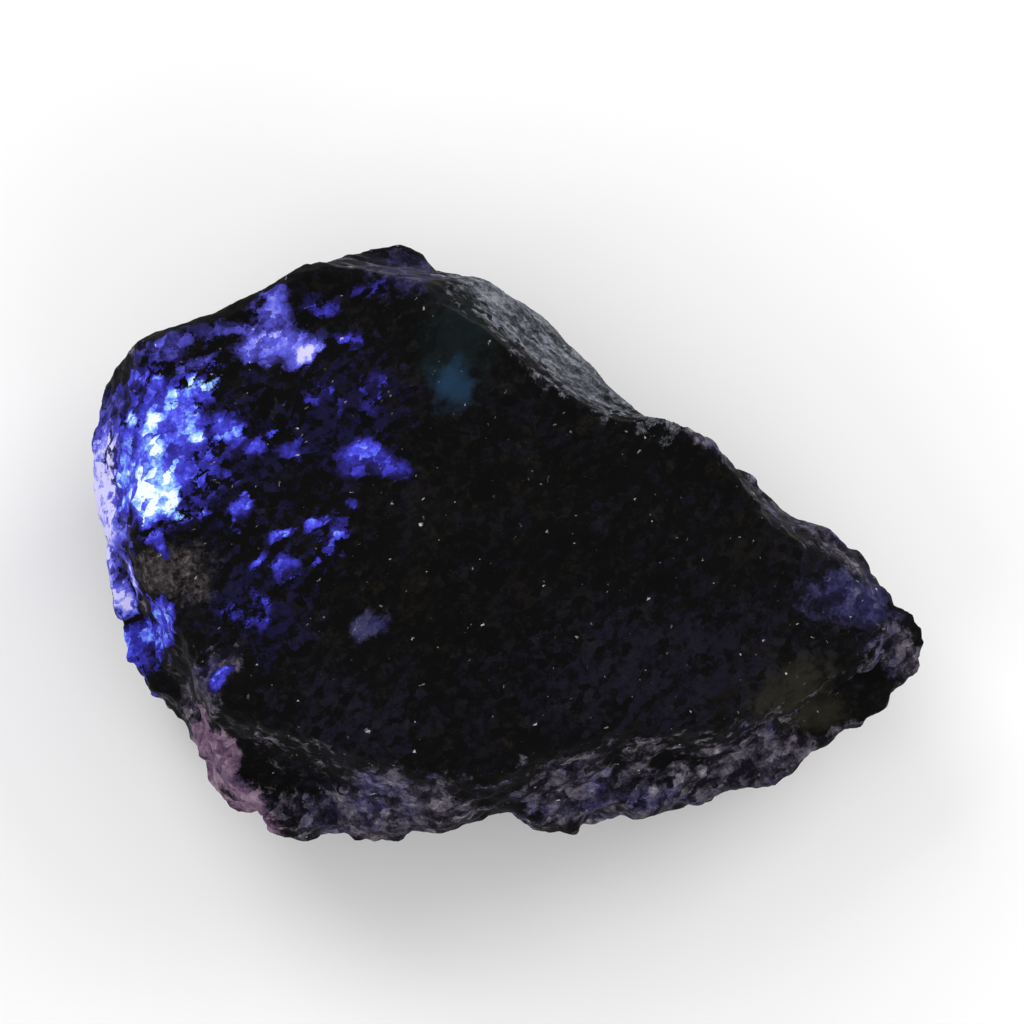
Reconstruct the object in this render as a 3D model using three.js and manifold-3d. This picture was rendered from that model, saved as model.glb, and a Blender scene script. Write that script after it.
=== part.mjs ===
// A piece of rough sapphire: one broken crystal, lying on a flat parting face.
// Millimetres, +Z up. The origin is on the resting face, under the middle of the stone.
// +X runs towards the thin tip, and +Y towards the straight upper left edge.
import * as THREE from 'three';
import { ImprovedNoise } from 'three/addons/math/ImprovedNoise.js';
import { TessellateModifier } from 'three/addons/modifiers/TessellateModifier.js';
import { mergeVertices } from 'three/addons/utils/BufferGeometryUtils.js';
import Module from 'manifold-3d';

const wasm = await Module();
wasm.setup();

// Driving dimensions
const HEIGHT = 17.0;

// The stone's widest outline, seen from above, anticlockwise from the tip.
const OUTLINE = [
  // tip, and the edge up to the shoulder
  [20.8, -4.9], [20.3, -3.3], [18.9, -1.5], [16.3, 0.7], [12.6, 4.1], [6.5, 5.7],
  // shoulder, and the knob beside it
  [4.5, 8.9], [1.3, 11.7], [-1.1, 13.5], [-3.8, 14.2], [-4.3, 15.0], [-5.5, 15.5], [-6.9, 15.0], [-8.4, 13.8],
  // straight upper left edge
  [-19.8, 8.7],
  // left end
  [-20.4, 7.2], [-20.6, 4.4], [-20.6, 1.1], [-19.8, -3.4], [-18.0, -7.1],
  // lower left edge
  [-16.4, -8.7], [-13.9, -12.1], [-12.4, -13.5],
  // scalloped lower edge
  [-11.3, -15.0], [-10.0, -15.2], [-8.6, -14.3], [-5.7, -14.1], [-3.9, -13.7], [-0.4, -13.2],
  [1.3, -13.8], [3.1, -13.9], [4.9, -13.1], [9.2, -12.7], [10.4, -12.3], [14.2, -11.2], [16.2, -9.9],
  [16.9, -8.7], [18.9, -8.1], [19.7, -7.4], [20.6, -5.9],
];

// Flat breaks. azimuth: the way the face looks, in degrees from +X towards +Y. tilt: its lean from facing
// straight up, in degrees. reach and height: a point on it, out along azimuth from the origin's axis.
const CROWN = {
  topLeft: { azimuth: 200, tilt: 8, reach: 4.0, height: 16.0 },
  topRight: { azimuth: 318, tilt: 10, reach: 2.0, height: 15.6 },
  tipSlope: { azimuth: 340, tilt: 23, reach: 10.0, height: 13.2 },
  tipEdge: { azimuth: 46, tilt: 74, reach: 10.4, height: 11.6 },
  upperLeftRim: { azimuth: 120, tilt: 58, reach: 15.7, height: 16.0 },
  upperLeft: { azimuth: 113, tilt: 84, reach: 16.3, height: 12.0 },
  leftEnd: { azimuth: 178, tilt: 58, reach: 18.8, height: 13.0 },
  lowerLeft: { azimuth: 219, tilt: 66, reach: 17.2, height: 12.0 },
  lower: { azimuth: 266, tilt: 64, reach: 12.6, height: 13.6 },
  lowerRight: { azimuth: 295, tilt: 56, reach: 13.6, height: 11.4 },
};
const UNDERSIDE = {
  shoulder: { azimuth: 58, tilt: 116, reach: 11.4, height: 6.6 },
  upperLeft: { azimuth: 116, tilt: 104, reach: 16.1, height: 7.0 },
  leftEnd: { azimuth: 176, tilt: 116, reach: 20.6, height: 7.4 },
  lowerLeft: { azimuth: 222, tilt: 110, reach: 18.7, height: 6.0 },
  lower: { azimuth: 267, tilt: 121, reach: 13.9, height: 5.8 },
  lowerRight: { azimuth: 302, tilt: 128, reach: 16.4, height: 5.4 },
  tip: { azimuth: 348, tilt: 142, reach: 19.6, height: 5.0 },
  tipEdge: { azimuth: 28, tilt: 127, reach: 14.8, height: 5.8 },
};

// Ledges: a flake is missing above each floor and outside each riser.
const LEDGES = [
  // the long shoulder facet, which ends halfway along the upper right edge
  { floor: { azimuth: 50, tilt: 55, reach: 8.6, height: 13.6 },
    riser: { azimuth: 95, tilt: 70, reach: 5.2, height: 14.0 } },
  // steps above the scalloped lower edge
  { floor: { azimuth: 252, tilt: 16, reach: 14.2, height: 10.0 },
    riser: { azimuth: 249, tilt: 74, reach: 14.0, height: 11.4 } },
  { floor: { azimuth: 284, tilt: 14, reach: 13.0, height: 9.4 },
    riser: { azimuth: 286, tilt: 70, reach: 12.7, height: 10.2 } },
  { floor: { azimuth: 300, tilt: 24, reach: 15.2, height: 7.6 },
    riser: { azimuth: 305, tilt: 72, reach: 15.0, height: 8.6 } },
  // steps round the tip, the left end and the knob
  { floor: { azimuth: 322, tilt: 16, reach: 18.8, height: 7.4 },
    riser: { azimuth: 326, tilt: 70, reach: 18.4, height: 8.2 } },
  { floor: { azimuth: 188, tilt: 22, reach: 19.4, height: 10.4 },
    riser: { azimuth: 193, tilt: 72, reach: 18.9, height: 11.4 } },
  { floor: { azimuth: 214, tilt: 30, reach: 18.0, height: 7.6 },
    riser: { azimuth: 207, tilt: 78, reach: 17.6, height: 9.0 } },
  { floor: { azimuth: 88, tilt: 25, reach: 13.6, height: 9.4 },
    riser: { azimuth: 82, tilt: 76, reach: 13.1, height: 10.5 } },
];

// Lumps stand out from the stone and pits go in: centre, how wide, and how far out.
const LUMPS = [
  { at: [-10.4, -14.0, 8.6], width: 4.6, rise: 1.0 },
  { at: [-6.0, -13.8, 8.8], width: 4.6, rise: 0.7 },
  { at: [-2.2, -12.8, 10.0], width: 3.6, rise: 0.5 },
  { at: [2.4, -13.4, 8.4], width: 4.8, rise: 0.7 },
  { at: [7.4, -12.6, 8.0], width: 4.6, rise: 0.5 },
  { at: [13.4, -11.2, 7.6], width: 5.2, rise: 0.8 },
  { at: [17.6, -8.0, 6.8], width: 4.0, rise: 0.6 },
  { at: [19.6, -4.8, 7.0], width: 3.6, rise: 0.6 },
  { at: [-5.4, 14.2, 13.6], width: 4.8, rise: 0.9 },
  { at: [16.4, -1.2, 9.8], width: 3.6, rise: 0.4 },
  { at: [-16.2, -1.4, 15.0], width: 5.4, rise: -0.7 },
  { at: [-7.4, -5.0, 15.4], width: 4.0, rise: -0.5 },
  { at: [3.4, 2.4, 16.0], width: 6.0, rise: -0.5 },
  { at: [13.2, -4.6, 11.8], width: 5.0, rise: -0.5 },
];
const HEART = new THREE.Vector3(0, 0, 6);

// Uneven breakage: how far a point wanders, and over what distance.
const WANDER = [
  { amount: 0.7, over: 7.5 },
  { amount: 0.42, over: 3.1 },
];
// How far apart the noise is read for the three directions, in steps of its own grid.
const APART = { x: 11.3, y: 17.9, z: 23.7 };

// Below the first height the stone is exactly flat, and above the second it wanders fully.
const REST_FLAT = 0.2;
const REST_FREE = 2.2;

// Facets are split until no edge is longer than this, in at most so many rounds.
const LONGEST_EDGE = 1.52;
const SPLIT_ROUNDS = 12;

const CUTTER = 120;
const UP = new THREE.Vector3(0, 0, 1);

const BLUE_BLACK = new THREE.MeshStandardMaterial({ color: 0x14152b, roughness: 0.4, metalness: 0 });

// A geometry as a solid for cutting.
function solidFrom(geometry) {
  geometry.deleteAttribute('normal');
  geometry.deleteAttribute('uv');
  const merged = mergeVertices(geometry.index ? geometry.toNonIndexed() : geometry);
  return new wasm.Manifold(new wasm.Mesh({
    numProp: 3,
    vertProperties: merged.attributes.position.array,
    triVerts: new Uint32Array(merged.index.array),
  }));
}

// A solid as a geometry.
function geometryFrom(solid) {
  const mesh = solid.getMesh();
  const geometry = new THREE.BufferGeometry();
  geometry.setAttribute('position', new THREE.BufferAttribute(mesh.vertProperties, mesh.numProp));
  geometry.setIndex(new THREE.BufferAttribute(mesh.triVerts, 1));
  return geometry;
}

// Unit vector that leans by tilt from straight up towards azimuth.
function leaning(azimuth, tilt) {
  const turn = THREE.MathUtils.degToRad(azimuth);
  const lean = THREE.MathUtils.degToRad(tilt);
  return new THREE.Vector3(Math.cos(turn) * Math.sin(lean), Math.sin(turn) * Math.sin(lean), Math.cos(lean));
}

// Everything outside one flat break.
function beyond({ azimuth, tilt, reach, height }) {
  const box = new THREE.BoxGeometry(CUTTER, CUTTER, CUTTER).translate(0, 0, CUTTER / 2);
  box.applyQuaternion(new THREE.Quaternion().setFromUnitVectors(UP, leaning(azimuth, tilt)));
  const out = leaning(azimuth, 90).multiplyScalar(reach);
  return solidFrom(box.translate(out.x, out.y, height));
}

// The block: its outline straight up to the full height, cut by the flat breaks and the ledges.
function brokenBlock() {
  const outline = new THREE.Shape(OUTLINE.map(([x, y]) => new THREE.Vector2(x, y)));
  let stone = solidFrom(new THREE.ExtrudeGeometry(outline, { depth: HEIGHT, bevelEnabled: false }));
  for (const face of [...Object.values(CROWN), ...Object.values(UNDERSIDE)]) {
    stone = stone.subtract(beyond(face));
  }
  for (const { floor, riser } of LEDGES) {
    stone = stone.subtract(beyond(floor).intersect(beyond(riser)));
  }
  return stone;
}

// Pushes a point out from the stone's heart where a lump is, or in where a pit is.
function swell(point) {
  const out = point.clone().sub(HEART).normalize();
  for (const { at, width, rise } of LUMPS) {
    const share = point.distanceTo(new THREE.Vector3(...at)) / (width / 2);
    if (share < 1) point.addScaledVector(out, rise * (1 - share ** 2) ** 2);
  }
}

// Moves a point a little, smoothly in space, so that flats and edges are uneven.
function wander(point, noise, free) {
  const { x, y, z } = point;
  for (const { amount, over } of WANDER) {
    const [u, v, w] = [x / over, y / over, z / over];
    const shift = new THREE.Vector3(
      noise.noise(u + APART.x, v, w),
      noise.noise(u, v + APART.y, w),
      noise.noise(u, v, w + APART.z),
    );
    point.addScaledVector(shift, amount * free);
  }
}

// Gives the cut block its lumps, pits and uneven faces. The resting face stays flat.
function weather(geometry) {
  const noise = new ImprovedNoise();
  const position = geometry.attributes.position;
  const point = new THREE.Vector3();
  for (let i = 0; i < position.count; i++) {
    point.fromBufferAttribute(position, i);
    const free = THREE.MathUtils.smoothstep(point.z, REST_FLAT, REST_FREE);
    swell(point);
    wander(point, noise, free);
    position.setXYZ(i, point.x, point.y, point.z);
  }
  return geometry;
}

// The whole stone, with the middle of its outline over the origin.
function sapphire() {
  const tessellate = new TessellateModifier(LONGEST_EDGE, SPLIT_ROUNDS);
  const geometry = weather(mergeVertices(tessellate.modify(geometryFrom(brokenBlock()))));
  geometry.computeBoundingBox();
  const middle = geometry.boundingBox.getCenter(new THREE.Vector3());
  geometry.translate(-middle.x, -middle.y, 0);
  geometry.computeVertexNormals();
  const mesh = new THREE.Mesh(geometry, BLUE_BLACK);
  mesh.name = 'sapphire';
  return mesh;
}

const stone = new THREE.Group();
stone.add(sapphire());

export default stone;
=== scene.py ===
"""Looks of a rough sapphire: a broken blue-black crystal with blue patches and thin lilac edges, the light
shining through them painted into their colour.
"""
import math

import bpy
from bpy.props import FloatProperty, FloatVectorProperty, IntProperty, PointerProperty
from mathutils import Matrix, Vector, noise


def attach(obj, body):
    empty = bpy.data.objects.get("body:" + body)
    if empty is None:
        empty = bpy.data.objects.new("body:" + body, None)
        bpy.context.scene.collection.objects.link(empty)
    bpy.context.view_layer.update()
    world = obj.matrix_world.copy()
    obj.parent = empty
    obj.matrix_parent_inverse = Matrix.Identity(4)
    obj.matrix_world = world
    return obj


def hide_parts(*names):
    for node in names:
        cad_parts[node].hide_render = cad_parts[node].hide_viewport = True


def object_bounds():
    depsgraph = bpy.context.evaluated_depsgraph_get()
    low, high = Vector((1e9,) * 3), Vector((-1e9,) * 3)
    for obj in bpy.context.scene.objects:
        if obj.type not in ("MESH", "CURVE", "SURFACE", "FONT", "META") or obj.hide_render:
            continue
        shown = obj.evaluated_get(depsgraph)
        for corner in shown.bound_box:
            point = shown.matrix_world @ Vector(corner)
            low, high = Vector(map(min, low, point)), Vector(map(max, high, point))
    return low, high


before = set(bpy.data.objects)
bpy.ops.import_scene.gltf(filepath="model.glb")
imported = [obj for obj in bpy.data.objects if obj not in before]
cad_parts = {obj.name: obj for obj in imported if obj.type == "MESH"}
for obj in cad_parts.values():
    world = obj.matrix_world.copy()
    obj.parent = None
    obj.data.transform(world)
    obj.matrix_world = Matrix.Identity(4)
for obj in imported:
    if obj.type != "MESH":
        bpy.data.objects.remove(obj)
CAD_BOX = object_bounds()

bl_info = {
    "name": "Rough Sapphire",
    "version": (1, 0, 0),
    "blender": (4, 5, 0),
    "location": "3D View > Sidebar > Sapphire",
    "description": "Makes a rough sapphire and a plain studio for it",
    "category": "Add Mesh",
}

MM = 0.001
NODE = "sapphire"
BODY = "root"
STONE = "sapphire_stone"

# Growth streaks on the shoulder: their heading, and their stretch along it, across it and upwards
STREAK_HEADING = math.radians(-42)
STREAK_STRETCH = (4.0, 1.0, 1.4)
# Patterns of the finish, in millimetres: the crystal grains and their slant, and the whitish streaks with
# the shoulder's painted sheen
GRAIN_SIZE = (0.66, 0.40, 0.50)
GRAIN_SLANT = math.radians(38)
FROST_AND_SHEEN_SIZE = (1.8, 0.42, 0.55)
# Moves the painted glints off the pattern of the grains
PAINTED_GLINT_SHIFT = (5.0, 3.0, 9.0)
# Seed of the noise that stirs the painted layers, so that every run gives the same stone
STIR_SEED = 8
# Soft lights round the stone: heading in degrees and share of the lights' power
LIGHTS = ((35, 1.3), (125, 1.3), (215, 0.7), (305, 0.7))


# Settings

class StoneShape(bpy.types.PropertyGroup):
    """Sizes of the stone's fine relief."""

    facet: FloatProperty(
        name="Finest facet", description="Edge length of the mesh's faces",
        default=0.205 * MM, precision=5, unit="LENGTH")
    wear: IntProperty(
        name="Wear", description="Rounds of smoothing that take the sharpness off the breaks", default=5)
    rounding: IntProperty(
        name="Rounding", description="Rounds of smoothing that round off the blunt end and the lower edge",
        default=60)
    settling: IntProperty(
        name="Settling", description="Rounds of smoothing over the finished relief", default=3)
    base: FloatProperty(
        name="Base", description="Height under which the stone is pressed flat onto the floor",
        default=0.12 * MM, precision=5, unit="LENGTH")
    crease: FloatProperty(
        name="Crease", description="Angle above which an edge between two faces stays sharp",
        default=math.radians(35), subtype="ANGLE")
    chip_width: FloatProperty(
        name="Chip width", description="Width of the flat chips",
        default=2.4 * MM, precision=5, unit="LENGTH")
    chip_depth: FloatProperty(
        name="Chip depth", description="Height from chip to chip",
        default=0.60 * MM, precision=5, unit="LENGTH")
    hackle_width: FloatProperty(
        name="Hackle width", description="Width of the rough ridges between chips",
        default=1.5 * MM, precision=5, unit="LENGTH")
    hackle_depth: FloatProperty(
        name="Hackle depth", description="Height of the rough ridges",
        default=0.50 * MM, precision=5, unit="LENGTH")
    grain_width: FloatProperty(
        name="Grain width", description="Width of the grains",
        default=0.55 * MM, precision=5, unit="LENGTH")
    grain_depth: FloatProperty(
        name="Grain depth", description="Height of the grains",
        default=0.26 * MM, precision=5, unit="LENGTH")
    lump_width: FloatProperty(
        name="Lump width", description="Width of the lumps on the lower rim",
        default=2.0 * MM, precision=5, unit="LENGTH")
    lump_depth: FloatProperty(
        name="Lump depth", description="Height of the lumps on the lower rim",
        default=1.0 * MM, precision=5, unit="LENGTH")
    streak_width: FloatProperty(
        name="Streak width", description="Width of the growth streaks on the shoulder",
        default=0.5 * MM, precision=5, unit="LENGTH")
    streak_depth: FloatProperty(
        name="Streak depth", description="Height of the growth streaks on the shoulder",
        default=0.22 * MM, precision=5, unit="LENGTH")


class StoneLook(bpy.types.PropertyGroup):
    """Colours and gloss of the stone."""

    black: FloatVectorProperty(
        name="Black", description="Colour of the thick body", subtype="COLOR", size=4,
        default=(0.0026, 0.0025, 0.0026, 1.0))
    navy: FloatVectorProperty(
        name="Navy", description="Colour of the faint blue clouds in the body", subtype="COLOR", size=4,
        default=(0.0070, 0.0062, 0.0140, 1.0))
    umber: FloatVectorProperty(
        name="Umber", description="Colour of the faint brown clouds in the body", subtype="COLOR", size=4,
        default=(0.0070, 0.0058, 0.0048, 1.0))
    # Lilac of the thin edges: partly the stone's colour, partly painted light coming through them
    lilac: FloatVectorProperty(
        name="Lilac", description="Colour of the thin edges", subtype="COLOR", size=4,
        default=(0.074, 0.064, 0.088, 1.0))
    # Colour of the crushed shoulder with a painted sheen on it
    frost_and_sheen: FloatVectorProperty(
        name="Frost", description="Colour of the crushed, whitish shoulder", subtype="COLOR", size=4,
        default=(0.165, 0.172, 0.205, 1.0))
    # Painted torchlight on the thin lower left edge
    torchlit_blush: FloatVectorProperty(
        name="Blush", description="Colour of the thin lower left edge", subtype="COLOR", size=4,
        default=(0.175, 0.105, 0.165, 1.0))
    teal: FloatVectorProperty(
        name="Teal", description="Colour of the cloud behind the shoulder", subtype="COLOR", size=4,
        default=(0.012, 0.034, 0.070, 1.0))
    tip: FloatVectorProperty(
        name="Tip", description="Colour of the thin tip", subtype="COLOR", size=4,
        default=(0.019, 0.018, 0.066, 1.0))
    olive: FloatVectorProperty(
        name="Olive", description="Colour of the greenish patch", subtype="COLOR", size=4,
        default=(0.019, 0.0175, 0.0120, 1.0))
    # Painted dim light round the blue patches
    painted_haze: FloatVectorProperty(
        name="Haze", description="Colour of the dim light round the blue patches", subtype="COLOR", size=4,
        default=(0.0075, 0.0065, 0.032, 1.0))
    moss: FloatVectorProperty(
        name="Moss", description="Colour of the green shade round the teal cloud", subtype="COLOR", size=4,
        default=(0.006, 0.010, 0.011, 1.0))
    murk: FloatVectorProperty(
        name="Murk", description="Colour of the dim violet shade towards the tip", subtype="COLOR", size=4,
        default=(0.0078, 0.0070, 0.0145, 1.0))
    crust: FloatVectorProperty(
        name="Crust", description="Colour of the brown crust at the blunt end", subtype="COLOR", size=4,
        default=(0.050, 0.043, 0.046, 1.0))
    ior: FloatProperty(name="IOR", description="Index of refraction of corundum", default=1.77)
    shine: FloatProperty(name="Shine", description="How strongly the surface mirrors", default=0.015)
    smoothest: FloatProperty(
        name="Smoothest", description="Least roughness of the surface", default=0.52, subtype="FACTOR")
    roughest: FloatProperty(
        name="Roughest", description="Greatest roughness of the surface", default=0.75, subtype="FACTOR")
    bump: FloatProperty(
        name="Bump", description="How strongly the finest grain shows", default=0.5, subtype="FACTOR")
    bump_height: FloatProperty(
        name="Bump height", description="Height of the finest grain",
        default=0.06 * MM, precision=5, unit="LENGTH")


class StudioSet(bpy.types.PropertyGroup):
    """Camera, floor and lights."""

    elevation: FloatProperty(
        name="Elevation", description="How far the camera looks down",
        default=math.radians(80), subtype="ANGLE")
    distance: FloatProperty(
        name="Distance", description="From the camera to the stone", default=0.26, unit="LENGTH")
    width: FloatProperty(
        name="Frame width", description="Width that the picture shows at the stone",
        default=51.57 * MM, precision=5, unit="LENGTH")
    right: FloatProperty(
        name="Right", description="How far the picture's middle lies to the right of the stone's",
        default=0.2 * MM, precision=5, unit="LENGTH")
    above: FloatProperty(
        name="Above", description="How far the picture's middle lies above the stone's",
        default=1.54 * MM, precision=5, unit="LENGTH")
    aim_height: FloatProperty(
        name="Aim height", description="Height that the camera and the lights point at",
        default=8.0 * MM, precision=5, unit="LENGTH")
    floor_size: FloatProperty(name="Floor", description="Side of the floor", default=4.0, unit="LENGTH")
    floor_colour: FloatVectorProperty(
        name="Floor colour", description="Colour of the floor", subtype="COLOR", size=4,
        default=(0.93, 0.93, 0.93, 1.0))
    floor_roughness: FloatProperty(
        name="Floor roughness", description="Roughness of the floor", default=0.7, subtype="FACTOR")
    light_power: FloatProperty(
        name="Light", description="Power of a soft light with a share of 1", default=0.91, unit="POWER")
    light_distance: FloatProperty(
        name="Light distance", description="From a light to the stone", default=0.6, unit="LENGTH")
    light_size: FloatProperty(
        name="Light size", description="Side of each square light", default=0.34, unit="LENGTH")
    light_lift: FloatProperty(
        name="Light lift", description="How far each light stands above the floor, seen from the stone",
        default=math.radians(36), subtype="ANGLE")
    ambient: FloatProperty(name="Ambient", description="Brightness of the air all round", default=0.60)


# Selecting and shaping

def only(piece):
    """Selects one object and nothing else."""
    bpy.ops.object.select_all(action="DESELECT")
    piece.select_set(True)
    bpy.context.view_layer.objects.active = piece


def start_from_node(name):
    """A new object with a copy of the solid's mesh, its points merged."""
    piece = bpy.data.objects.new(name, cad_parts[NODE].data.copy())
    bpy.context.scene.collection.objects.link(piece)
    piece.data.materials.clear()
    only(piece)
    bpy.ops.object.mode_set(mode="EDIT")
    bpy.ops.mesh.select_all(action="SELECT")
    bpy.ops.mesh.remove_doubles(threshold=0.001 * MM)
    bpy.ops.object.mode_set(mode="OBJECT")
    return piece


def refine(piece, facet):
    """Gives the piece even, fine faces."""
    only(piece)
    piece.data.remesh_voxel_size = facet
    bpy.ops.object.voxel_remesh()


def apply(piece, modifier):
    """Makes a modifier's result the piece's own mesh."""
    only(piece)
    bpy.ops.object.modifier_apply(modifier=modifier.name)


def soften(piece, rounds, group=""):
    """Smooths the piece, or only where the group is."""
    smooth = piece.modifiers.new("wear", "SMOOTH")
    smooth.factor = 0.5
    smooth.iterations = rounds
    smooth.vertex_group = group
    apply(piece, smooth)


def rise(value, low, high):
    """0 below low, 1 above high, and smooth between."""
    share = min(max((value - low) / (high - low), 0.0), 1.0)
    return share * share * (3.0 - 2.0 * share)


def spread(point, middle, half_widths, turn, inner=0.7, outer=1.25):
    """1 over an oval seen from above, falling to 0 round its edge."""
    lean = math.radians(turn)
    east = point.x - middle[0]
    north = point.y - middle[1]
    along = (east * math.cos(lean) + north * math.sin(lean)) / half_widths[0]
    across = (north * math.cos(lean) - east * math.sin(lean)) / half_widths[1]
    return rise(-math.hypot(along, across), -outer, -inner)


def weigh(piece, name, share):
    """A vertex group whose weights share gives from a point, in millimetres, and the way that it faces."""
    group = piece.vertex_groups.new(name=name)
    for vertex in piece.data.vertices:
        weight = share(vertex.co / MM, vertex.normal)
        if weight > 0.0:
            group.add([vertex.index], weight, "REPLACE")


def relief(piece, name, texture, size, depth, group, middle=0.5, turn=0.0):
    """Raises the piece by a solid pattern of that size, turned about the vertical, where the group is."""
    bpy.ops.object.empty_add(rotation=(0.0, 0.0, turn))
    place = bpy.context.active_object
    place.scale = size
    bpy.context.view_layer.update()
    displace = piece.modifiers.new(name, "DISPLACE")
    displace.texture = texture
    displace.texture_coords = "OBJECT"
    displace.texture_coords_object = place
    displace.strength = depth
    displace.mid_level = middle
    displace.vertex_group = group
    apply(piece, displace)
    bpy.data.objects.remove(place)
    bpy.data.textures.remove(texture)


def clouds(name, depth, basis="IMPROVED_PERLIN", kind="SOFT_NOISE"):
    """A solid noise pattern one unit wide."""
    texture = bpy.data.textures.new(name, "CLOUDS")
    texture.noise_scale = 1.0
    texture.noise_basis = basis
    texture.noise_type = kind
    texture.noise_depth = depth
    return texture


def cells(name):
    """A solid pattern of flat-topped cells one unit wide."""
    texture = bpy.data.textures.new(name, "VORONOI")
    texture.noise_scale = 1.0
    texture.color_mode = "POSITION"
    return texture


def flatten_base(piece, below):
    """Presses what lies under a height flat onto the floor."""
    only(piece)
    bpy.ops.object.mode_set(mode="EDIT")
    bpy.ops.mesh.select_all(action="DESELECT")
    bpy.ops.object.mode_set(mode="OBJECT")
    for vertex in piece.data.vertices:
        vertex.select = vertex.co.z < below
    bpy.ops.object.mode_set(mode="EDIT")
    bpy.ops.transform.resize(value=(1.0, 1.0, 0.0), center_override=(0.0, 0.0, 0.0))
    bpy.ops.object.mode_set(mode="OBJECT")


# Where each kind of relief is, from a point in millimetres and the way that it faces

def on_rough_sides(point, facing):
    above_base = rise(point.z, 0.3, 2.4)
    steep = 0.3 + 0.7 * rise(-facing.z, -0.96, -0.60)
    clean_back = 0.65 * rise(facing.y, 0.30, 0.65) * rise(-point.x, -9.0, -5.0)
    return above_base * steep * (1.0 - clean_back)


def on_worn_edges(point, facing):
    low_side = rise(-point.y - 0.25 * point.x, 5.0, 8.5)
    blunt_end = rise(-point.x, 13.0, 16.5) * rise(-point.y, -9.0, -6.0)
    knob = 0.5 * spread(point, (-5.0, 12.6), (3.6, 2.2), -5)
    far_side = 0.7 * spread(point, (12.6, 2.8), (8.5, 2.2), -38) * rise(point.z, 3.0, 6.0)
    return max(max(low_side, blunt_end, knob) * rise(point.z, 6.5, 9.5), far_side)


def on_the_shoulder(point, facing):
    faces_out = rise(facing.x * 0.64 + facing.y * 0.77, 0.22, 0.60)
    along = spread(point, (1.8, 9.6), (8.0, 3.4), -40)
    return faces_out * along * rise(point.z, 6.0, 9.0)


def on_the_lower_rim(point, facing):
    low_side = rise(-point.y - 0.25 * point.x, 7.2, 10.5)
    tip = rise(point.x, 15.0, 18.5)
    return max(low_side, tip) * rise(point.z, 2.0, 5.0) * rise(-point.z, -13.5, -10.5)


# Painted layers

def stir(point):
    """Moves a point a little, and more the lower it lies, so that ovals get wandering edges."""
    depth = max(12.5 - point.z, 0.0)
    small = noise.noise_vector(point * 0.7) * 0.6 + noise.noise_vector(point * 1.9) * 0.35
    return point + small + noise.noise_vector(point * 0.3) * (0.28 * depth)


def painted_glow_of(spots):
    """How closely the bright grains of painted glow lie and how bright they are, with a spare third number.
    """
    def amount(point, facing, at):
        above = rise(point.z, 2.0, 9.5)
        if at.x > -4.0 or above == 0.0:
            return (0.0, 0.0, 0.0)
        cover = 0.0
        shine = 0.0
        for middle, half_widths, turn, full, bright in spots:
            near = spread(at, middle, half_widths, turn, 0.35, 1.5)
            cover = max(cover, near * full * above)
            shine = max(shine, near * bright * (0.4 + 0.6 * above))
        return (cover, shine, 0.0)
    return amount


def cloud_of(ovals):
    """Soft-edged ovals on what faces up."""
    def amount(point, facing, at):
        near = max(spread(at, middle, half_widths, turn, 0.1) for middle, half_widths, turn in ovals)
        return near * rise(facing.z, 0.05, 0.5) * rise(point.z, 3.0, 6.0)
    return amount


def edge_of(ovals, sides=0.0):
    """Soft-edged ovals at any height that fade towards the base, and that share of every steep side."""
    def amount(point, facing, at):
        near = max(spread(at, middle, half_widths, turn, 0.1) for middle, half_widths, turn in ovals)
        steep = sides * rise(-facing.z, -0.70, -0.30)
        return max(near * rise(point.z, -2.0, 7.0), steep * rise(point.z, 0.0, 4.0))
    return amount


def on_the_frost_and_sheen(point, facing, at):
    """The crushed band along the shoulder with its painted sheen, fading towards the base."""
    along = spread(at, (2.3, 9.8), (6.7, 2.2), -41, 0.45, 1.5)
    return along * rise(point.z, 1.0, 10.5)


def paint(piece, layers):
    """Stores what each layer gives from a point in millimetres, the way it faces and its stirred place."""
    noise.seed_set(STIR_SEED)
    points = [vertex.co / MM for vertex in piece.data.vertices]
    facings = [vertex.normal.copy() for vertex in piece.data.vertices]
    stirred = [stir(point) for point in points]
    for name, amount in layers.items():
        values = [amount(*given) for given in zip(points, facings, stirred)]
        if isinstance(values[0], tuple):
            layer = piece.data.attributes.new(name, "FLOAT_VECTOR", "POINT")
            layer.data.foreach_set("vector", [part for value in values for part in value])
        else:
            layer = piece.data.attributes.new(name, "FLOAT", "POINT")
            layer.data.foreach_set("value", values)


# Material wiring

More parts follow.
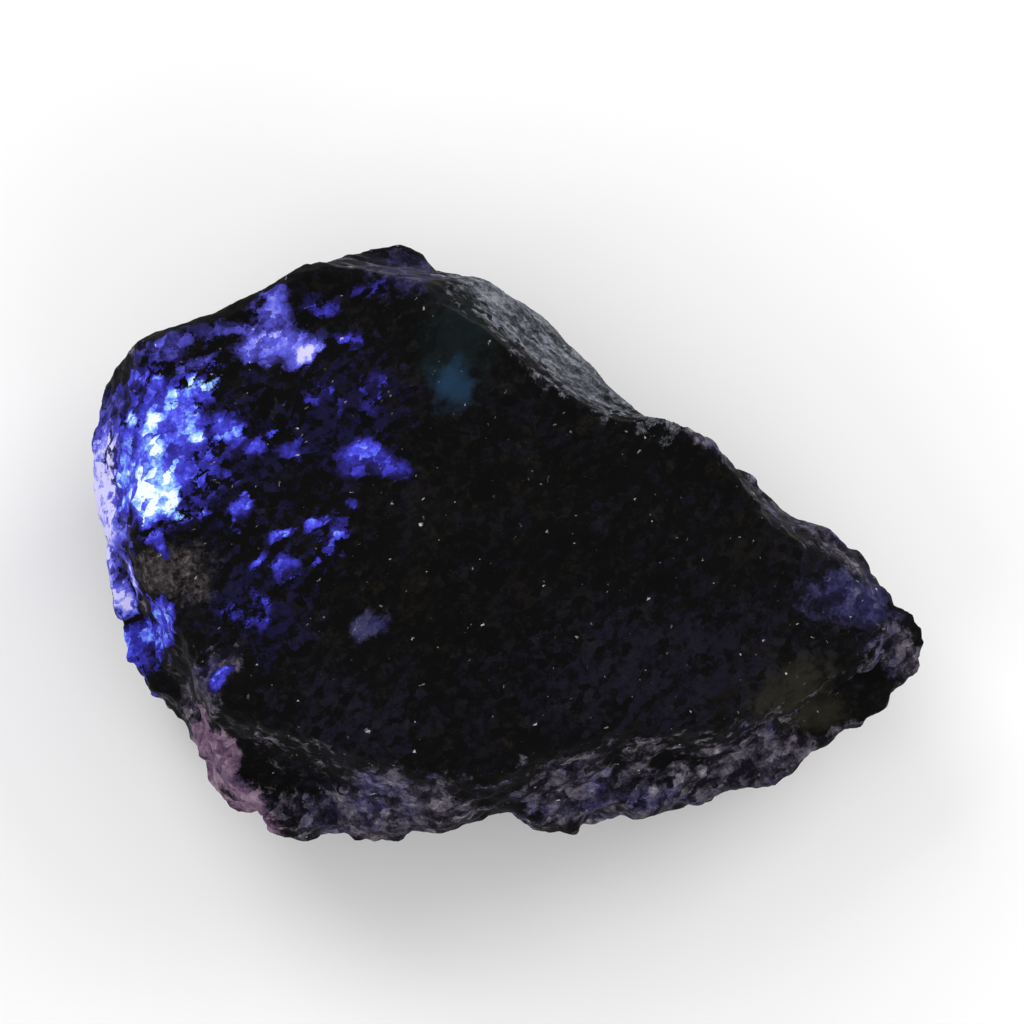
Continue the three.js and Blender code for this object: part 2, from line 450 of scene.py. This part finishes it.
class Wiring:
    """Adds nodes to one material and joins them."""

    def __init__(self, tree):
        self.tree = tree

    def node(self, kind, **settings):
        """A new node with these settings."""
        made = self.tree.nodes.new(kind)
        for name, value in settings.items():
            setattr(made, name, value)
        return made

    def feed(self, socket, value):
        """Joins a socket to another, or sets its value."""
        if isinstance(value, bpy.types.NodeSocket):
            self.tree.links.new(value, socket)
        else:
            socket.default_value = value

    def math(self, operation, first, second):
        made = self.node("ShaderNodeMath", operation=operation)
        self.feed(made.inputs[0], first)
        self.feed(made.inputs[1], second)
        return made.outputs[0]

    def add(self, first, second):
        return self.math("ADD", first, second)

    def vector(self, operation, first, second):
        made = self.node("ShaderNodeVectorMath", operation=operation)
        self.feed(made.inputs[0], first)
        self.feed(made.inputs[1], second)
        return made.outputs[0]

    def scale(self, first, factor):
        made = self.node("ShaderNodeVectorMath", operation="SCALE")
        self.feed(made.inputs[0], first)
        made.inputs["Scale"].default_value = factor
        return made.outputs[0]

    def split(self, first):
        made = self.node("ShaderNodeSeparateXYZ")
        self.feed(made.inputs[0], first)
        return made.outputs

    def span(self, value, low, high, to_low=0.0, to_high=1.0):
        """A smooth step from low to high."""
        made = self.node("ShaderNodeMapRange", interpolation_type="SMOOTHSTEP")
        for socket, given in zip(made.inputs, (value, low, high, to_low, to_high)):
            self.feed(socket, given)
        return made.outputs[0]

    def blend(self, factor, first, second):
        made = self.node("ShaderNodeMix", data_type="RGBA", clamp_factor=True)
        self.feed(made.inputs[0], factor)
        self.feed(made.inputs[6], first)
        self.feed(made.inputs[7], second)
        return made.outputs[2]

    def noise(self, place, scale, detail, roughness, output=0):
        made = self.node("ShaderNodeTexNoise")
        self.feed(made.inputs["Vector"], place)
        self.feed(made.inputs["Scale"], scale)
        self.feed(made.inputs["Detail"], detail)
        self.feed(made.inputs["Roughness"], roughness)
        return made.outputs[output]

    def cells(self, place):
        """Cells one unit wide."""
        made = self.node("ShaderNodeTexVoronoi")
        self.feed(made.inputs["Vector"], place)
        self.feed(made.inputs["Scale"], 1.0)
        return made.outputs

    def turned(self, place, heading, size):
        """Places turned about the vertical, for a pattern whose unit has that size."""
        made = self.node("ShaderNodeMapping", vector_type="TEXTURE")
        self.feed(made.inputs["Vector"], place)
        self.feed(made.inputs["Rotation"], (0.0, 0.0, heading))
        self.feed(made.inputs["Scale"], size)
        return made.outputs[0]

    def stir(self, place, scale, reach):
        """Moves places about, so that a pattern over them gets wandering edges."""
        shake = self.vector("SUBTRACT", self.noise(place, scale, 3.0, 0.6, output=1), (0.5, 0.5, 0.5))
        return self.vector("ADD", place, self.scale(shake, reach))

    def ramp(self, value, stops):
        """A colour that changes with a value through these stops."""
        made = self.node("ShaderNodeValToRGB")
        elements = made.color_ramp.elements
        while len(elements) < len(stops):
            elements.new(1.0)
        for element, (position, colour) in zip(elements, stops):
            element.position = position
            element.color = (*colour, 1.0)
        self.feed(made.inputs[0], value)
        return made.outputs[0]

    def painted(self, name):
        """The outputs of a painted layer."""
        return self.node("ShaderNodeAttribute", attribute_name=name).outputs


# Painted glow where light comes through the stone, in millimetres seen from above: middle, half widths,
# turn in degrees, how closely the bright grains lie and how bright they are
BLUE_PAINTED_GLOW = [
    # hot core of the painted glow and the grains round it
    ((-17.0, 3.9), (3.2, 4.0), 0, 0.80, 0.64), ((-17.5, 1.7), (1.9, 2.2), 0, 1.00, 0.90),
    ((-17.2, 0.9), (1.45, 0.90), 41, 1.25, 1.08), ((-17.6, 3.5), (1.15, 1.25), 0, 0.80, 0.90),
    ((-16.3, 1.9), (0.75, 0.85), 0, 0.80, 0.68), ((-18.1, 2.2), (0.50, 0.50), 0, 0.90, 0.90),
    ((-17.3, -0.8), (0.85, 0.65), 0, 0.58, 0.80), ((-17.1, -1.3), (0.45, 0.65), 0, 0.80, 0.58),
    ((-15.9, 0.4), (0.75, 0.55), 0, 0.58, 0.80), ((-19.0, 2.9), (0.80, 0.95), 0, 0.90, 0.74),
    # upper left
    ((-17.3, 6.8), (0.60, 0.60), 0, 1.00, 0.78), ((-18.5, 7.2), (0.85, 0.75), 0, 1.00, 0.60),
    ((-18.7, 5.2), (0.55, 0.65), 0, 0.80, 0.86), ((-17.3, 4.9), (0.75, 0.55), 0, 0.72, 0.88),
    ((-15.6, 6.4), (1.35, 0.90), 0, 0.54, 0.78), ((-14.4, 7.2), (0.75, 0.65), 0, 0.48, 0.70),
    ((-16.1, 5.0), (1.25, 0.90), 0, 0.54, 0.68), ((-15.4, 4.0), (0.60, 0.75), 0, 0.85, 0.84),
    ((-13.8, 4.3), (0.85, 0.85), 0, 0.90, 0.76), ((-14.0, 5.3), (0.85, 0.45), 0, 0.62, 0.62),
    # middle
    ((-12.4, 3.6), (0.75, 0.70), 0, 0.80, 0.56), ((-10.9, 3.3), (0.75, 0.55), 0, 0.62, 0.46),
    ((-11.4, 4.4), (0.75, 0.35), 15, 0.62, 0.41), ((-6.7, 6.5), (0.85, 0.65), 0, 0.70, 0.48),
    ((-6.8, 5.4), (0.75, 0.55), 0, 0.62, 0.38), ((-9.3, 5.9), (0.95, 0.75), 0, 0.56, 0.40),
    ((-8.0, 8.7), (1.15, 0.45), -8, 0.75, 0.50), ((-6.8, 11.2), (1.25, 0.40), 0, 0.62, 0.32),
    ((-9.3, 10.7), (1.05, 0.55), 0, 0.52, 0.36),
    # three-cornered patch
    ((-7.3, 3.1), (0.80, 0.90), 0, 1.80, 0.52), ((-6.2, 2.5), (1.70, 0.62), -15, 1.80, 0.56),
    ((-7.4, 2.4), (0.75, 0.45), 0, 1.80, 0.48),
    # below
    ((-13.2, 0.5), (0.80, 0.55), 0, 0.85, 0.66), ((-13.5, 2.0), (0.55, 0.45), 0, 0.62, 0.48),
    ((-11.0, -0.8), (0.75, 0.45), 10, 0.85, 0.60), ((-9.7, -0.3), (0.55, 0.55), 0, 0.85, 0.58),
    ((-8.4, -0.8), (0.85, 0.85), 0, 0.76, 0.56), ((-7.6, 0.6), (0.50, 0.40), 0, 0.72, 0.48),
    ((-8.7, -1.8), (0.85, 0.45), 0, 0.62, 0.48), ((-10.9, -2.5), (0.75, 0.75), 0, 0.76, 0.54),
    ((-12.2, -1.9), (0.40, 0.35), 0, 0.72, 0.48), ((-12.3, -3.8), (0.65, 0.75), 0, 0.66, 0.46),
    ((-13.6, -4.6), (0.85, 0.50), 0, 0.62, 0.50), ((-12.4, -5.1), (1.05, 0.55), 0, 0.70, 0.48),
    ((-13.4, -0.5), (0.55, 0.55), 0, 0.50, 0.40),
    # lower left
    ((-18.4, -5.2), (1.10, 1.60), 0, 1.10, 0.68), ((-17.2, -4.9), (0.95, 1.25), 0, 0.95, 0.64),
    ((-17.7, -6.5), (0.55, 0.65), 0, 0.80, 0.56), ((-14.1, -8.0), (0.45, 0.45), 0, 0.90, 0.60),
]
# Painted violet glow of light coming through the stone, listed the same way
VIOLET_PAINTED_GLOW = [
    ((-11.1, 8.7), (2.00, 1.10), -5, 1.25, 0.76), ((-10.0, 8.2), (0.85, 0.50), 10, 1.00, 0.98),
    ((-10.9, 9.2), (0.85, 0.65), 0, 1.00, 0.80), ((-12.7, 8.3), (0.85, 0.65), 0, 0.90, 0.62),
    ((-11.8, 10.1), (1.10, 0.85), 0, 0.95, 0.60), ((-11.4, 10.9), (0.80, 0.65), 0, 0.80, 0.54),
    ((-15.4, 7.9), (1.25, 0.50), 12, 0.80, 0.62), ((-17.0, 8.7), (2.2, 0.55), 22, 0.80, 0.46),
    ((-13.9, 9.6), (1.7, 0.60), 20, 0.80, 0.40),
    # thin left edge, painted bright with the light coming through it
    ((-20.4, 1.8), (1.60, 5.00), 0, 1.15, 0.94), ((-20.2, 3.2), (0.90, 1.75), 0, 1.00, 1.02),
    ((-19.8, 0.6), (0.80, 1.55), 0, 1.00, 0.96), ((-19.8, 5.0), (0.55, 1.05), 0, 0.90, 0.76),
    ((-19.5, -2.4), (1.00, 1.30), 0, 1.25, 1.02),
    ((-19.4, 6.7), (0.65, 0.75), 0, 0.80, 0.46),
]
# Clouds of other colours: middle, half widths, turn
CLOUDS = {
    # painted dim light round the blue patches
    "painted_haze": [
        ((-14.0, 3.0), (7.5, 9.0), 0), ((-12.0, -3.5), (6.0, 6.0), 0), ((-8.0, 5.0), (6.0, 7.0), 0),
        ((-5.4, 12.8), (3.0, 2.4), 0),
    ],
    "teal": [((-2.6, 6.6), (1.6, 2.0), 0)],
    "moss": [((-2.4, 8.4), (2.6, 4.0), 0)],
    "tip": [((17.4, -2.9), (3.6, 2.2), 0), ((-6.8, -5.3), (1.1, 0.9), 0)],
    "olive": [((14.2, -8.2), (3.2, 1.9), 15)],
    "crust": [((-16.6, -2.4), (2.6, 2.0), 0)],
    "murk": [((8.0, -7.0), (13.0, 6.0), 8), ((17.0, -3.0), (6.0, 5.0), 0), ((-8.0, -10.0), (7.0, 4.0), 0)],
}
# Thin edges
# Painted torchlight on the thin lower left edge
TORCHLIT_BLUSH = [((-14.4, -11.6), (6.4, 1.3), -51)]
KNOB = [((-5.0, 13.0), (2.9, 2.7), -15)]
# Rim ovals: lilac partly painted light coming through the thin edges
RIM = [
    ((-6.6, -13.9), (6.5, 2.1), 0), ((4.6, -13.3), (6.0, 2.5), 4), ((12.4, -11.4), (5.5, 2.3), 17),
    ((19.6, -5.9), (1.6, 2.4), 30), ((-14.6, -7.8), (1.9, 1.5), 30), ((15.8, 0.7), (5.2, 1.5), -40),
    ((9.6, 4.8), (3.2, 1.1), -38),
]


def layers_of_the_stone():
    """Every painted layer that the finish reads, by name."""
    layers = {name: cloud_of(ovals) for name, ovals in CLOUDS.items()}
    # Blue and violet patches of painted glow, from light coming through the stone
    layers["blue_painted_glow"] = painted_glow_of(BLUE_PAINTED_GLOW)
    layers["violet_painted_glow"] = painted_glow_of(VIOLET_PAINTED_GLOW)
    # Shoulder layer: the crushed band and its painted sheen
    layers["shoulder"] = on_the_frost_and_sheen
    # Painted torchlight on the thin lower left edge
    layers["torchlit_blush"] = edge_of(TORCHLIT_BLUSH)
    layers["knob"] = edge_of(KNOB)
    # Rim layer: thin edges, partly painted light coming through them
    layers["rim"] = edge_of(RIM, sides=0.35)
    return layers


def blue_ramp(wire, value):
    """From dim navy through bright blue to almost white."""
    return wire.ramp(value, [
        (0.0, (0.006, 0.005, 0.020)), (0.26, (0.013, 0.010, 0.070)), (0.44, (0.027, 0.023, 0.25)),
        (0.58, (0.046, 0.043, 0.48)), (0.70, (0.085, 0.090, 0.82)), (0.80, (0.17, 0.30, 0.88)),
        (0.90, (0.33, 0.60, 0.94)), (1.0, (0.86, 0.96, 1.0))])


def violet_ramp(wire, value):
    """From dim violet to pale lilac."""
    return wire.ramp(value, [
        (0.0, (0.008, 0.007, 0.028)), (0.35, (0.022, 0.019, 0.11)), (0.55, (0.062, 0.056, 0.38)),
        (0.72, (0.10, 0.105, 0.66)), (0.86, (0.23, 0.24, 0.86)), (1.0, (0.62, 0.60, 0.96))])


def swing(wire, value, reach):
    """A pattern of middle 0 and that reach from one of middle 0.5."""
    return wire.math("MULTIPLY", wire.math("SUBTRACT", value, 0.5), reach)


def look_of_the_stone(look):
    """Near-black corundum: faint clouds, blue patches at the blunt end painted bright with light shining
    through, pale thin edges partly painted with light coming through them, a painted sheen on the shoulder
    and tiny painted glints.
    """
    material = bpy.data.materials.new("rough_sapphire")
    material.use_nodes = True
    tree = material.node_tree
    wire = Wiring(tree)
    shader = tree.nodes["Principled BSDF"]

    place = wire.scale(wire.node("ShaderNodeTexCoord").outputs["Object"], 1.0 / MM)
    stirred = wire.stir(place, 0.9, 1.5)
    grain = wire.noise(place, 2.4, 4.0, 0.80)
    fine = wire.noise(place, 3.6, 3.0, 0.7)
    blotch = wire.noise(stirred, 0.8, 4.0, 0.72)
    mist = wire.split(wire.noise(stirred, 0.28, 4.0, 0.68, output=1))
    slanted = wire.turned(wire.stir(place, 2.6, 0.5), GRAIN_SLANT, GRAIN_SIZE)
    chance = wire.split(wire.cells(slanted)["Color"])
    crumb = wire.add(swing(wire, chance["X"], 0.7), swing(wire, grain, 2.0))
    sparkle = wire.add(swing(wire, chance["Y"], 0.42), swing(wire, fine, 0.55))
    grit = wire.add(swing(wire, chance["Y"], 0.16), swing(wire, fine, 1.0))
    lumps = wire.add(swing(wire, blotch, 2.0), wire.math("MULTIPLY", crumb, 0.5))

    def lay(colour, tint, amount, low, high):
        """A tint over a colour where an amount is high."""
        return wire.blend(wire.span(amount, low, high), colour, tint)

    def within(region, pattern, weight):
        """A region broken by a pattern that doesn't reach outside it."""
        broken = wire.add(wire.math("MULTIPLY", region, weight), pattern)
        return wire.math("MINIMUM", broken, wire.math("MULTIPLY", region, 6.0))

    def cloud(colour, name, tint, pattern, low, high):
        """A painted cloud over a colour, with a pattern at its edges."""
        return lay(colour, tuple(tint), wire.add(wire.painted(name)["Fac"], pattern), low, high)

    # Dark body with faint clouds of colour
    speckle = wire.add(swing(wire, chance["Z"], 0.30), swing(wire, grain, 0.9))
    colour = lay(tuple(look.black), tuple(look.navy), wire.add(mist["X"], speckle), 0.50, 0.90)
    colour = lay(colour, tuple(look.umber), wire.add(mist["Y"], speckle), 0.50, 0.90)
    colour = cloud(colour, "murk", look.murk, crumb, 0.60, 1.25)
    # Painted dim light round the blue patches
    colour = cloud(colour, "painted_haze", look.painted_haze, crumb, 0.75, 1.25)
    colour = cloud(colour, "moss", look.moss, speckle, 0.25, 1.1)
    colour = cloud(colour, "teal", look.teal, wire.math("MULTIPLY", speckle, 0.5), 0.20, 1.1)

    # Thin tip, knob, greenish patch and crust
    light = wire.add(swing(wire, blotch, 1.2), swing(wire, chance["X"], 0.3))
    light = wire.add(wire.add(light, 0.5), wire.math("MULTIPLY", grit, 0.6))
    tip_tint = wire.ramp(light, [
        (0.25, (0.009, 0.008, 0.022)), (0.50, tuple(look.tip)[:3]), (0.72, (0.045, 0.042, 0.112)),
        (0.94, (0.16, 0.15, 0.22))])
    colour = lay(colour, tip_tint, within(wire.painted("tip")["Fac"], lumps, 1.5), 0.30, 1.30)
    colour = lay(colour, tip_tint, within(wire.painted("knob")["Fac"], lumps, 0.9), 0.15, 1.10)
    colour = cloud(colour, "olive", look.olive, lumps, 0.0, 1.2)
    crust_tint = wire.ramp(wire.add(fine, swing(wire, chance["Z"], 0.25)), [
        (0.32, (0.006, 0.005, 0.005)), (0.46, (0.025, 0.021, 0.022)), (0.58, tuple(look.crust)[:3]),
        (0.76, (0.12, 0.11, 0.11))])
    colour = lay(colour, crust_tint, within(wire.painted("crust")["Fac"], lumps, 1.6), 0.35, 1.2)

    # Cloudy rim, part navy and part lilac, its thin edges partly painted with light coming through them,
    # and painted torchlight on the thin edge beside it
    navy_tint = wire.ramp(light, [
        (0.28, (0.006, 0.005, 0.012)), (0.44, (0.018, 0.016, 0.044)), (0.60, (0.042, 0.039, 0.100)),
        (0.82, (0.14, 0.13, 0.21))])
    # Lilac of the thin edges, partly painted light coming through them
    lilac_and_glow_tint = wire.ramp(light, [
        (0.30, (0.006, 0.005, 0.009)), (0.46, (0.026, 0.022, 0.033)), (0.60, tuple(look.lilac)[:3]),
        (0.76, (0.14, 0.125, 0.15)), (0.92, (0.34, 0.31, 0.33))])
    rim_tint = lay(navy_tint, lilac_and_glow_tint, mist["Z"], 0.36, 0.50)
    colour = lay(colour, rim_tint, within(wire.painted("rim")["Fac"], lumps, 1.5), 0.42, 1.10)
    # Painted torchlight on the thin lower left edge
    torchlit_blush_tint = wire.ramp(light, [
        (0.22, (0.026, 0.018, 0.048)), (0.38, (0.090, 0.054, 0.105)), (0.56, tuple(look.torchlit_blush)[:3]),
        (0.82, (0.30, 0.22, 0.28))])
    colour = lay(colour, torchlit_blush_tint, within(wire.painted("torchlit_blush")["Fac"], lumps, 2.0), 0.30, 1.10)

    # Blue and violet patches, painted bright with light shining through the crystal
    flicker = wire.add(sparkle, swing(wire, blotch, 0.4))
    for name, ramp in (("violet_painted_glow", violet_ramp), ("blue_painted_glow", blue_ramp)):
        glow = wire.split(wire.painted(name)["Vector"])
        tint = ramp(wire, wire.add(glow["Y"], flicker))
        colour = lay(colour, tint, within(glow["X"], crumb, 1.3), 0.46, 0.76)

    # Frosted shoulder with streaks along it and a painted sheen over it
    streaks = wire.noise(wire.turned(stirred, STREAK_HEADING, FROST_AND_SHEEN_SIZE), 1.0, 4.0, 0.65)
    frost_and_sheen = wire.ramp(wire.add(streaks, wire.math("MULTIPLY", grit, 0.5)), [
        (0.32, (0.010, 0.012, 0.012)), (0.46, (0.056, 0.061, 0.072)), (0.60, tuple(look.frost_and_sheen)[:3]),
        (0.80, (0.36, 0.36, 0.40))])
    colour = lay(colour, frost_and_sheen, within(wire.painted("shoulder")["Fac"], crumb, 1.3), 0.35, 0.85)

    # Tiny painted glints
    painted_glint_specks = wire.noise(wire.vector("ADD", slanted, PAINTED_GLINT_SHIFT), 1.5, 1.0, 0.5)
    painted_glint = wire.blend(chance["Y"], (0.05, 0.05, 0.06, 1.0), (0.55, 0.55, 0.58, 1.0))
    colour = lay(colour, painted_glint, painted_glint_specks, 0.74, 0.82)

    wire.feed(shader.inputs["Base Color"], colour)
    wire.feed(shader.inputs["Roughness"], wire.span(blotch, 0.35, 0.65, look.smoothest, look.roughest))
    shader.inputs["IOR"].default_value = look.ior
    shader.inputs["Specular IOR Level"].default_value = look.shine

    bump = wire.node("ShaderNodeBump")
    bump.inputs["Strength"].default_value = look.bump
    bump.inputs["Distance"].default_value = look.bump_height
    wire.feed(bump.inputs["Height"], fine)
    wire.feed(shader.inputs["Normal"], bump.outputs[0])
    return material


def look_of_the_floor(colour, roughness):
    """A plain, dull surface."""
    material = bpy.data.materials.new("pale_floor")
    material.use_nodes = True
    shader = material.node_tree.nodes["Principled BSDF"]
    shader.inputs["Base Color"].default_value = colour
    shader.inputs["Roughness"].default_value = roughness
    return material


# Operators

class SAPPHIRE_OT_make_stone(bpy.types.Operator):
    """Makes the stone from its solid: fine relief, then the finish"""

    bl_idname = "sapphire.make_stone"
    bl_label = "Stone"

    def execute(self, context):
        shape = context.scene.stone_shape
        piece = start_from_node(STONE)
        refine(piece, shape.facet)
        soften(piece, shape.wear)
        weigh(piece, "worn", on_worn_edges)
        soften(piece, shape.rounding, "worn")
        piece.vertex_groups.clear()
        refine(piece, shape.facet)
        weigh(piece, "sides", on_rough_sides)
        weigh(piece, "shoulder", on_the_shoulder)
        weigh(piece, "rim", on_the_lower_rim)
        relief(piece, "lumps", clouds("lumps", 1, basis="VORONOI_F1"),
               (shape.lump_width,) * 3, -shape.lump_depth, "rim", middle=0.45)
        relief(piece, "chips", cells("chips"), (shape.chip_width,) * 3, shape.chip_depth, "sides")
        relief(piece, "hackle", clouds("hackle", 3, kind="HARD_NOISE"),
               (shape.hackle_width,) * 3, shape.hackle_depth, "sides", middle=0.3)
        relief(piece, "streaks", clouds("streaks", 2),
               [shape.streak_width * stretch for stretch in STREAK_STRETCH],
               shape.streak_depth, "shoulder", turn=STREAK_HEADING)
        relief(piece, "grain", clouds("grain", 1), (shape.grain_width,) * 3, shape.grain_depth, "sides")
        soften(piece, shape.settling, "sides")
        flatten_base(piece, shape.base)
        only(piece)
        bpy.ops.object.shade_smooth_by_angle(angle=shape.crease)
        piece.vertex_groups.clear()
        paint(piece, layers_of_the_stone())
        piece.data.materials.append(look_of_the_stone(context.scene.stone_look))
        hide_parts(NODE)
        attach(piece, BODY)
        return {"FINISHED"}


class SAPPHIRE_OT_make_studio(bpy.types.Operator):
    """Makes the floor, the soft lights and the camera"""

    bl_idname = "sapphire.make_studio"
    bl_label = "Studio"

    def execute(self, context):
        studio = context.scene.studio_set
        bpy.ops.mesh.primitive_plane_add(size=studio.floor_size)
        floor = context.active_object
        floor.name = "floor"
        floor.data.materials.append(look_of_the_floor(studio.floor_colour, studio.floor_roughness))

        low, high = CAD_BOX
        middle = Vector(((low.x + high.x) / 2, (low.y + high.y) / 2, studio.aim_height))
        level = math.cos(studio.light_lift)
        upward = math.sin(studio.light_lift)
        for turn, share in LIGHTS:
            heading = math.radians(turn)
            out = Vector((math.cos(heading) * level, math.sin(heading) * level, upward))
            bpy.ops.object.light_add(type="AREA", location=middle + out * studio.light_distance)
            light = context.active_object
            light.data.shape = "SQUARE"
            light.data.size = studio.light_size
            light.data.energy = studio.light_power * share
            light.rotation_euler = out.to_track_quat("Z", "Y").to_euler()

        world = bpy.data.worlds.new("studio")
        context.scene.world = world
        world.use_nodes = True
        air = world.node_tree.nodes["Background"]
        air.inputs["Color"].default_value = (1.0, 1.0, 1.0, 1.0)
        air.inputs["Strength"].default_value = studio.ambient

        back = Vector((0.0, -math.cos(studio.elevation), math.sin(studio.elevation)))
        right = Vector((1.0, 0.0, 0.0))
        above = back.cross(right)
        aim = middle + right * studio.right + above * studio.above
        bpy.ops.object.camera_add(location=aim + back * studio.distance,
                                  rotation=back.to_track_quat("Z", "Y").to_euler())
        camera = context.active_object
        camera.data.lens = camera.data.sensor_width * studio.distance / studio.width
        context.scene.camera = camera
        context.scene.view_settings.view_transform = "Standard"
        return {"FINISHED"}


class SAPPHIRE_PT_panel(bpy.types.Panel):
    """Lists what the add-on makes"""

    bl_label = "Rough Sapphire"
    bl_idname = "SAPPHIRE_PT_panel"
    bl_space_type = "VIEW_3D"
    bl_region_type = "UI"
    bl_category = "Sapphire"

    def draw(self, context):
        layout = self.layout
        for operator, settings in PARTS:
            layout.operator(operator.bl_idname)
            for group in settings:
                for name in group.__annotations__:
                    layout.prop(getattr(context.scene, POINTERS[group]), name)


PARTS = [
    (SAPPHIRE_OT_make_stone, (StoneShape, StoneLook)),
    (SAPPHIRE_OT_make_studio, (StudioSet,)),
]
POINTERS = {StoneShape: "stone_shape", StoneLook: "stone_look", StudioSet: "studio_set"}
CLASSES = [*POINTERS, SAPPHIRE_OT_make_stone, SAPPHIRE_OT_make_studio, SAPPHIRE_PT_panel]


def register():
    for made in CLASSES:
        bpy.utils.register_class(made)
    for group, pointer in POINTERS.items():
        setattr(bpy.types.Scene, pointer, PointerProperty(type=group))


def unregister():
    for pointer in POINTERS.values():
        delattr(bpy.types.Scene, pointer)
    for made in reversed(CLASSES):
        bpy.utils.unregister_class(made)


def main():
    register()
    bpy.ops.sapphire.make_stone()
    bpy.ops.sapphire.make_studio()


if __name__ == "__main__":
    main()
